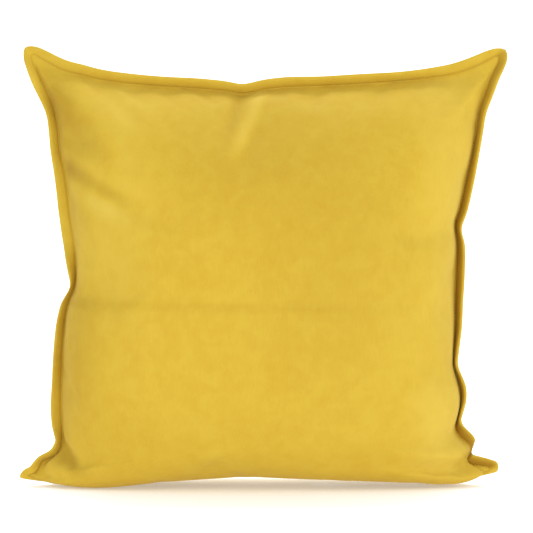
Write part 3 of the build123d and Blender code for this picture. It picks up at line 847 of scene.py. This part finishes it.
def seam_walk():
    """Columns and rows all round the seam, one side after another."""
    return [
        [(i, 0) for i in range(COLUMNS + 1)],
        [(COLUMNS, j) for j in range(ROWS + 1)],
        [(i, ROWS) for i in range(COLUMNS, -1, -1)],
        [(0, j) for j in range(ROWS, -1, -1)],
    ]


def stitches_along(line, side):
    return [bead_turn(place, along, (0, side, 0), STITCH) for place, along in evenly(line, STITCH_PITCH)]


def stitched(name, turns, *nodes):
    piece = make_object(name, string_beads(turns), thread)
    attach(piece, "cushion")
    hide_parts(*nodes)


def flange_stitches(name, out, rise, side, node):
    """Stitches round the whole flange, at one distance from the seam."""
    turns = []
    for run in seam_walk():
        turns += stitches_along([flange_place(i, j, out, rise, side) / MM for i, j in run], side)
    stitched(name, turns, node)


def zip_row_stitches(name, side, node):
    """The row that holds one tape to its lip."""
    arcs = np.linspace(-ZIP_HALF, ZIP_HALF, 90)
    line = [on_zip(arc, side * ZIP_STITCH_HEIGHT, 0.02) for arc in arcs]
    stitched(name, stitches_along(line, 1), node)


# The bar tacks across the zip's ends: turns of thread, height between them, how far past the
# opening, length of each turn, and how much each one slants
TACK_TURNS, TACK_STEP, TACK_OUT, TACK_LENGTH, TACK_SLANT = 25, 0.6, 1.25, 2.2, 0.2
# The zip's loops: pitch, the height of their middles, their depth, and their size up and outward
COIL_PITCH, LOOP_HEIGHT, LOOP_DEPTH, LOOP_UP, LOOP_OUT = 1.6, 1.08, 1.5, 1.9, 1.15


def bar_tacks():
    turns = []
    for end in (-1, 1):
        arc = end * (ZIP_HALF + TACK_OUT)
        for k in range(TACK_TURNS):
            height = TACK_STEP * (k - TACK_TURNS // 2)
            slant = TACK_SLANT if k % 2 else -TACK_SLANT
            along = on_zip(arc + 1, height + slant, 0) - on_zip(arc - 1, height, 0)
            turns.append(bead_turn(on_zip(arc, height, 0.05), along, (0, 1, 0), (TACK_LENGTH, *STITCH[1:])))
    stitched("zip_bar_tack_stitches", turns, "zip_bar_tacks")


def coil(name, side, phase, node):
    """One side of the zip's chain: a row of rounded loops."""
    turns = []
    arc = -CHAIN_HALF + phase
    while arc < CHAIN_HALF:
        up = on_zip(arc, side, LOOP_DEPTH) - on_zip(arc, 0, LOOP_DEPTH)
        outward = on_zip(arc, 0, 0) - on_zip(arc, 0, 1)
        size = (LOOP_UP, LOOP_OUT, COIL_PITCH * 0.62)
        turns.append(bead_turn(on_zip(arc, side * LOOP_HEIGHT, LOOP_DEPTH), up, outward, size))
        arc += COIL_PITCH
    piece = make_object(name, string_beads(turns), coil_plastic)
    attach(piece, "cushion")
    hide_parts(node)


flange_stitches("front_topstitch", TOPSTITCH_FROM_SEAM, TOPSTITCH_HEIGHT, -1, "flange_needle_thread")
flange_stitches("back_topstitch", TOPSTITCH_FROM_SEAM, TOPSTITCH_HEIGHT, 1, "flange_bobbin_thread")
flange_stitches("edge_seam_stitches", FLANGE - EDGE_SEAM_FROM_EDGE, 0.0, 1, "edge_seam_thread")
zip_row_stitches("zip_stitches_upper", 1, "zip_stitching_upper")
zip_row_stitches("zip_stitches_lower", -1, "zip_stitching_lower")
bar_tacks()
coil("coil_upper", 1, 0.5, "zip_coil_upper")
coil("coil_lower", -1, 0.5 + COIL_PITCH / 2, "zip_coil_lower")


LABEL_MIDDLE, LABEL_WIDTH, LABEL_THICK = 70, 30, 0.3


def care_label_piece():
    """A blank ribbon tag that hangs out of the lower seam and bends down towards the floor."""
    bm = bmesh.new()
    bmesh.ops.create_grid(bm, x_segments=10, y_segments=12, size=0.5)
    fall = [(5.0, 19.0), (8.0, 15.6), (12.0, 12.6), (16.5, 10.2), (20.5, 8.6)]  # y, z, from the seam
    for v in bm.verts:
        y, z = through(fall, [v.co.y + 0.5])[0]
        v.co = Vector((LABEL_MIDDLE + LABEL_WIDTH * v.co.x, y, z + 0.3 * math.sin(7 * v.co.x))) * MM
    bmesh.ops.recalc_face_normals(bm, faces=bm.faces)
    piece = make_object("blank_label", bm, ribbon)
    thick = piece.modifiers.new("thick", "SOLIDIFY")
    thick.thickness, thick.offset = LABEL_THICK * MM, 0
    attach(piece, "cushion")
    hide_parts("care_label")


care_label_piece()
for node, finish in [
    ("zip_tape_upper", tape_cloth), ("zip_tape_lower", tape_cloth), ("zip_top_stops", coil_plastic),
    ("zip_bottom_stop", coil_plastic), ("zip_slider_body", slider_metal), ("zip_pull_tab", slider_metal),
]:
    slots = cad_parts[node].material_slots
    if not slots:
        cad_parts[node].data.materials.append(finish)
    for slot in slots:
        slot.material = finish


# ---------------------------------------------------------------- studio
def area_light(name, place, aim, size, power):
    light = bpy.data.lights.new(name, "AREA")
    light.shape, light.size, light.energy = "SQUARE", size, power
    lamp = bpy.data.objects.new(name, light)
    lamp.location = place
    lamp.rotation_euler = (Vector(aim) - Vector(place)).to_track_quat("-Z", "Y").to_euler()
    bpy.context.scene.collection.objects.link(lamp)


def paper_sweep():
    """A pale paper floor that curves up into a wall behind."""
    bm = bmesh.new()
    bmesh.ops.create_grid(bm, x_segments=1, y_segments=1, size=4)
    far = [e for e in bm.edges if all(v.co.y > 3 for v in e.verts)]
    risen = bmesh.ops.extrude_edge_only(bm, edges=far)["geom"]
    bmesh.ops.translate(bm, verts=[v for v in risen if isinstance(v, bmesh.types.BMVert)], vec=(0, 0, 4))
    fold = [e for e in bm.edges if all(v.co.y > 3 and v.co.z < 0.1 for v in e.verts)]
    bmesh.ops.bevel(bm, geom=fold, offset=1.5, segments=16, profile=0.5, affect="EDGES", material=-1)
    paper = bpy.data.materials.new("paper")
    paper.use_nodes = True
    shader = paper.node_tree.nodes["Principled BSDF"]
    shader.inputs["Base Color"].default_value = (0.9, 0.9, 0.9, 1)
    shader.inputs["Roughness"].default_value = 0.9
    shader.inputs["Emission Color"].default_value = (1, 1, 1, 1)
    shader.inputs["Emission Strength"].default_value = 0.3
    return make_object("paper_sweep", bm, paper)


paper_sweep()
area_light("key", (2.3, -1.9, 1.3), (0, 0, 0.2), 1.0, 16.5)
area_light("low", (-0.5, -2.5, 0.5), (0, 0, 0.1), 1.8, 13.5)
area_light("bounce", (0, -1.1, 0.01), (0, -0.4, 1.0), 1.0, 6.5)
area_light("backdrop", (0, 1.2, 2.6), (0, 3.0, 0.4), 2.0, 90)
world = bpy.context.scene.world or bpy.data.worlds.new("studio")
bpy.context.scene.world = world
world.use_nodes = True
world.node_tree.nodes["Background"].inputs["Color"].default_value = (1, 1, 1, 1)
world.node_tree.nodes["Background"].inputs["Strength"].default_value = 0.74
bpy.context.scene.view_settings.view_transform = "Standard"

camera = bpy.data.objects.new("camera", bpy.data.cameras.new("camera"))
camera.data.lens, camera.data.sensor_width = 135, 36
camera.location = (0.005, -1.99875, 0.2195)
camera.rotation_euler = (math.radians(90), 0, 0)
bpy.context.scene.collection.objects.link(camera)
bpy.context.scene.camera = camera
